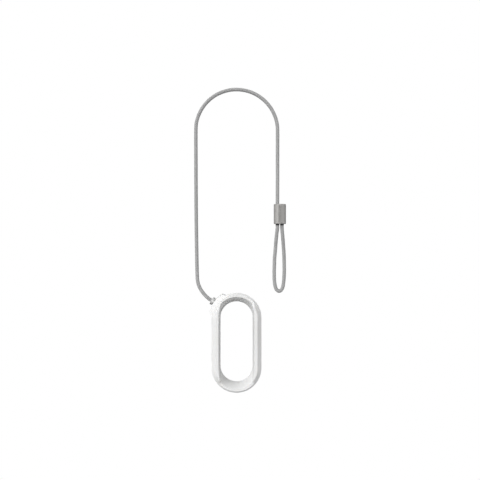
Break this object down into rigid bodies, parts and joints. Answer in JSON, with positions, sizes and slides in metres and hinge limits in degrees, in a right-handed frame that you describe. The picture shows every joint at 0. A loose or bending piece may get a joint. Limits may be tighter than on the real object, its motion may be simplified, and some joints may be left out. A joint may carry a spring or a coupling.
{
  "type": "grip ring lanyard",
  "caption": "White stadium-shaped grip ring on a grey braided cord, with a swivel collar, a satin metal ferrule and a small cinch loop.",
  "frame": {"origin": "centre of the grip ring on its back face", "axes": "+Z out of the ring's front face, +Y along the ring's length towards the cord's arch, +X to the right"},
  "size_m": [0.0698, 0.2301, 0.0121],
  "materials": {
    "ring_white": "soft-touch matt",
    "cord_grey": "braided",
    "ferrule_metal": "bead-blasted satin",
    "collar_metal": "satin",
    "steel": "plain",
    "black_rubber": "matt",
    "black_plastic": "matt"
  },
  "bodies": {
    "ring": {"grip_ring": "ring_white", "socket_plug": "ring_white", "anchor_sleeve": "steel", "collar_bush": "collar_metal", "thrust_washer": "steel"},
    "root": {"stop_bead": "steel", "cord_root": "cord_grey"},
    "neck": {"cord_neck": "cord_grey"},
    "left_low": {"cord_left_low": "cord_grey"},
    "left_mid": {"cord_left_mid": "cord_grey"},
    "left_high": {"cord_left_high": "cord_grey"},
    "arch_left": {"cord_arch_left": "cord_grey"},
    "arch_top": {"cord_arch_top": "cord_grey"},
    "arch_right": {"cord_arch_right": "cord_grey"},
    "right_high": {"cord_right_high": "cord_grey"},
    "right_low": {"cord_right_low": "cord_grey"},
    "ferrule": {"ferrule_shell": "ferrule_metal", "ferrule_cap": "ferrule_metal", "ferrule_insert": "black_plastic", "cord_end_crimp": "steel", "leg_sleeve_left": "black_rubber", "leg_sleeve_right": "black_rubber", "cord_through": "cord_grey", "cord_tail": "cord_grey"},
    "loop_upper": {"loop_leg_left": "cord_grey", "loop_leg_right": "cord_grey"},
    "loop_lower": {"loop_bottom": "cord_grey"}
  },
  "joints": [
    {"name": "cord_swivel", "type": "hinge", "parent": "ring", "child": "root", "pos_m": [-0.01896, 0.03159, 0.0045], "axis": [-0.8281, 0.5606, 0], "range_deg": [-150, 150]},
    {"name": "root_lift", "type": "hinge", "parent": "root", "child": "neck", "pos_m": [-0.02132, 0.03314, 0.00443], "axis": [0.66, 0.7513, 0], "range_deg": [-35, 35]},
    {"name": "root_sway", "type": "hinge", "parent": "neck", "child": "left_low", "pos_m": [-0.02681, 0.03924, 0.00362], "axis": [-0.0037, -0.0003, 1], "range_deg": [-12, 35]},
    {"name": "left_low_bend", "type": "hinge", "parent": "left_low", "child": "left_mid", "pos_m": [-0.03036, 0.07196, 0.0013], "axis": [-0.0037, -0.0003, 1], "range_deg": [-12, 30]},
    {"name": "left_lift", "type": "hinge", "parent": "left_mid", "child": "left_high", "pos_m": [-0.03079, 0.11243, 0.0013], "axis": [1, -0.0037, -0.0002], "range_deg": [-35, 35]},
    {"name": "arch_left_bend", "type": "hinge", "parent": "left_high", "child": "arch_left", "pos_m": [-0.03094, 0.15099, 0.0013], "axis": [0.0015, -0.0033, -1], "range_deg": [-30, 4]},
    {"name": "arch_top_left_bend", "type": "hinge", "parent": "arch_left", "child": "arch_top", "pos_m": [-0.01547, 0.1874, 0.0013], "axis": [-0.0037, -0.0003, 1], "range_deg": [-2, 35]},
    {"name": "arch_top_right_bend", "type": "hinge", "parent": "arch_top", "child": "arch_right", "pos_m": [0.01592, 0.18699, 0.0013], "axis": [-0.0037, -0.0003, 1], "range_deg": [-3, 35]},
    {"name": "arch_right_bend", "type": "hinge", "parent": "arch_right", "child": "right_high", "pos_m": [0.03114, 0.15301, 0.0013], "axis": [0.0015, -0.0033, -1], "range_deg": [-30, 15]},
    {"name": "right_lift", "type": "hinge", "parent": "right_high", "child": "right_low", "pos_m": [0.03111, 0.12864, 0.00148], "axis": [1, -0.0037, -0.0002], "range_deg": [-35, 35]},
    {"name": "ferrule_tilt", "type": "hinge", "parent": "right_low", "child": "ferrule", "pos_m": [0.03088, 0.10771, 0.0046], "axis": [-0.0037, -0.0003, 1], "range_deg": [-35, 35]},
    {"name": "loop_fold", "type": "hinge", "parent": "ferrule", "child": "loop_upper", "pos_m": [0.03256, 0.08695, 0.0046], "axis": [1, -0.0037, -0.0002], "range_deg": [-35, 35]},
    {"name": "loop_bend", "type": "hinge", "parent": "loop_upper", "child": "loop_lower", "pos_m": [0.03246, 0.0618, 0.00134], "axis": [1, -0.0037, -0.0002], "range_deg": [-40, 40]}
  ]
}
